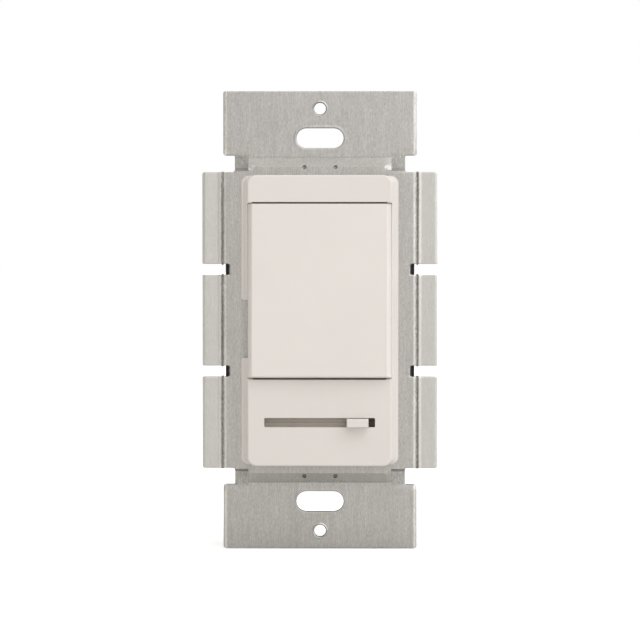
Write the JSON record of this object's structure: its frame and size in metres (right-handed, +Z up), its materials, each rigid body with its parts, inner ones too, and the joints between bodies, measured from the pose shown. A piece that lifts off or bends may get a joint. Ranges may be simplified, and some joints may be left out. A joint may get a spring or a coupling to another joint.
{
  "type": "wall dimmer with rocker paddle and slide control",
  "caption": "Decorator-style wall dimmer: aluminium strap with break-off heat fins, plastic front frame, rocker paddle, horizontal slide control and black rear housing.",
  "frame": {"origin": "centre of the strap on the wall plane, where the backs of both ears lie, midway between the two cover-plate screw holes", "axes": "+Z up along the strap, -Y out of the wall towards the user, +X to the user's right"},
  "size_m": [0.0538, 0.0398, 0.1048],
  "materials": {
    "strap_aluminium": "fine vertical mill grain, sheared and rolled edges",
    "ivory_plastic": "satin moulded plastic, warm white",
    "felt_seal": "short felt pile",
    "insulating_paper": "pressed insulating paper",
    "black_plastic": "fine moulded texture",
    "plated_steel": "zinc plated",
    "board_laminate": "glass laminate with solder mask",
    "brown_phenolic": "moulded phenolic",
    "terminal_brass": "stamped brass",
    "brass_screw": "machined brass",
    "green_steel": "green dyed zinc plating",
    "tinned_copper": "matt tin plate",
    "mica_sheet": "thin mica sheet",
    "iron_powder_core": "painted iron powder",
    "enamelled_copper": "enamelled copper wire",
    "blue_plastic": "moulded case",
    "red_plastic": "dipped coating",
    "resistor_ceramic": "lacquered ceramic",
    "diode_glass": "sealed glass",
    "carbon_film": "printed carbon",
    "contact_silver": "silver alloy",
    "contact_copper": "phosphor bronze strip",
    "white_acetal": "moulded acetal",
    "spring_steel": "drawn wire"
  },
  "bodies": {
    "chassis": {"mounting_strap": "strap_aluminium", "front_frame": "ivory_plastic", "dust_seal": "felt_seal", "insulating_sheet": "insulating_paper", "rear_housing": "black_plastic", "housing_screws": "plated_steel", "circuit_board": "board_laminate", "switch_base": "brown_phenolic", "pivot_terminal": "terminal_brass", "lower_fixed_contact": "terminal_brass", "upper_fixed_contact": "terminal_brass", "potentiometer_shell": "plated_steel", "resistor_board": "brown_phenolic", "carbon_track": "carbon_film", "collector_strip": "contact_silver", "triac_tab": "tinned_copper", "triac_body": "black_plastic", "triac_leads": "tinned_copper", "triac_insulator": "mica_sheet", "triac_rivet": "strap_aluminium", "choke_core": "iron_powder_core", "choke_winding": "enamelled_copper", "filter_capacitor": "blue_plastic", "timing_capacitor": "red_plastic", "resistors": "resistor_ceramic", "diac": "diode_glass", "line_terminal": "terminal_brass", "load_terminal": "terminal_brass", "traveller_terminal": "terminal_brass", "terminal_clamps": "terminal_brass", "terminal_screws": "brass_screw", "ground_clamp": "terminal_brass", "ground_screw": "green_steel"},
    "rocker": {"rocker_paddle": "ivory_plastic", "plunger": "white_acetal", "plunger_spring": "spring_steel"},
    "contact": {"contact_arm": "contact_copper", "moving_contacts": "contact_silver"},
    "slider": {"slider_knob": "ivory_plastic", "slider_lever": "plated_steel", "wiper_carriage": "white_acetal", "wiper_contacts": "contact_copper"}
  },
  "joints": [
    {"name": "rocker_pivot", "type": "hinge", "parent": "chassis", "child": "rocker", "pos_m": [0, -0.0054, 0.00675], "axis": [1, 0, 0], "range_deg": [0, 6]},
    {"name": "contact_pivot", "type": "hinge", "parent": "chassis", "child": "contact", "pos_m": [0, 0.0085, 0.00675], "axis": [1, 0, 0], "range_deg": [-12, 0]},
    {"name": "slider_travel", "type": "slide", "parent": "chassis", "child": "slider", "axis": [1, 0, 0], "range_m": [-0.01865, 0.00135]}
  ],
  "couplings": [
    {"joint": "contact_pivot", "follows": "rocker_pivot", "ratio": -2}
  ]
}
